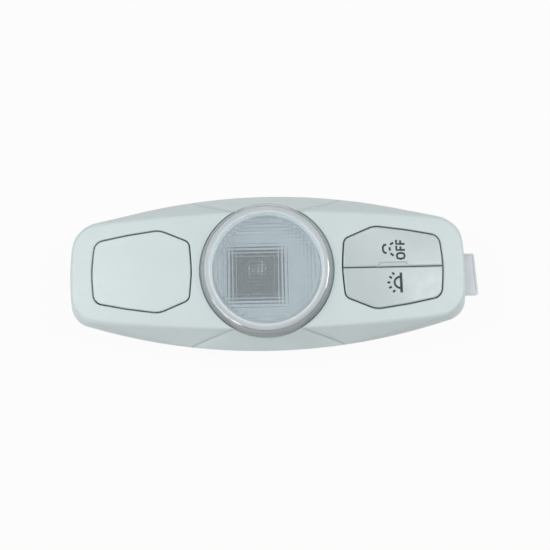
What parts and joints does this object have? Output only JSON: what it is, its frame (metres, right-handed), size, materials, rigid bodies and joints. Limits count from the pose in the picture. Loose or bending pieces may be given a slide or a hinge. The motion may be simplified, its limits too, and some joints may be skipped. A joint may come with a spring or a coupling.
{
  "type": "car dome light",
  "caption": "Barrel-shaped interior roof lamp: round prismatic lens in the middle, two push keys on one side, a blank cover on the other.",
  "frame": {"origin": "on the lens axis, in the rear plane of the carrier's tub, on which the lamp lies", "axes": "+X along the lamp towards the two keys, +Y across it towards the door key, +Z out of the face"},
  "size_m": [0.1876, 0.0714, 0.0455],
  "materials": {
    "bezel_plastic": "fine satin grain",
    "key_plastic": "smooth",
    "lens_clear": "polished, prismatic inside",
    "plunger_plastic": "smooth",
    "spring_steel": "bright",
    "switch_plastic": "moulded",
    "reflector_white": "bright white",
    "bulb_glass": "clear",
    "holder_plastic": "moulded",
    "contact_brass": "plain",
    "board_laminate": "coated",
    "carrier_plastic": "milky, unpainted",
    "screw_steel": "zinc"
  },
  "bodies": {
    "root": {"bezel": "bezel_plastic", "lens": "lens_clear", "blank_cover": "key_plastic", "door_spring": "spring_steel", "lamp_spring": "spring_steel", "door_switch": "switch_plastic", "lamp_switch": "switch_plastic", "reflector": "reflector_white", "bulb": "bulb_glass", "bulb_holder": "holder_plastic", "feed_strip": "contact_brass", "return_strip": "contact_brass", "circuit_board": "board_laminate", "connector_body": "holder_plastic", "connector_pins": "contact_brass", "carrier": "carrier_plastic", "carrier_screws": "screw_steel", "board_screws": "screw_steel", "retaining_spring": "spring_steel"},
    "door_key_body": {"door_key": "key_plastic", "door_plunger": "plunger_plastic"},
    "lamp_key_body": {"lamp_key": "key_plastic", "lamp_plunger": "plunger_plastic"}
  },
  "joints": [
    {"name": "door_key_press", "type": "slide", "parent": "root", "child": "door_key_body", "axis": [0, 0, -1], "range_m": [0, 0.0018], "stiffness_N_per_m": 1000, "springref_m": -0.0015, "deforming": ["door_spring"]},
    {"name": "lamp_key_press", "type": "slide", "parent": "root", "child": "lamp_key_body", "axis": [0, 0, -1], "range_m": [0, 0.0018], "stiffness_N_per_m": 1000, "springref_m": -0.0015, "deforming": ["lamp_spring"]}
  ]
}
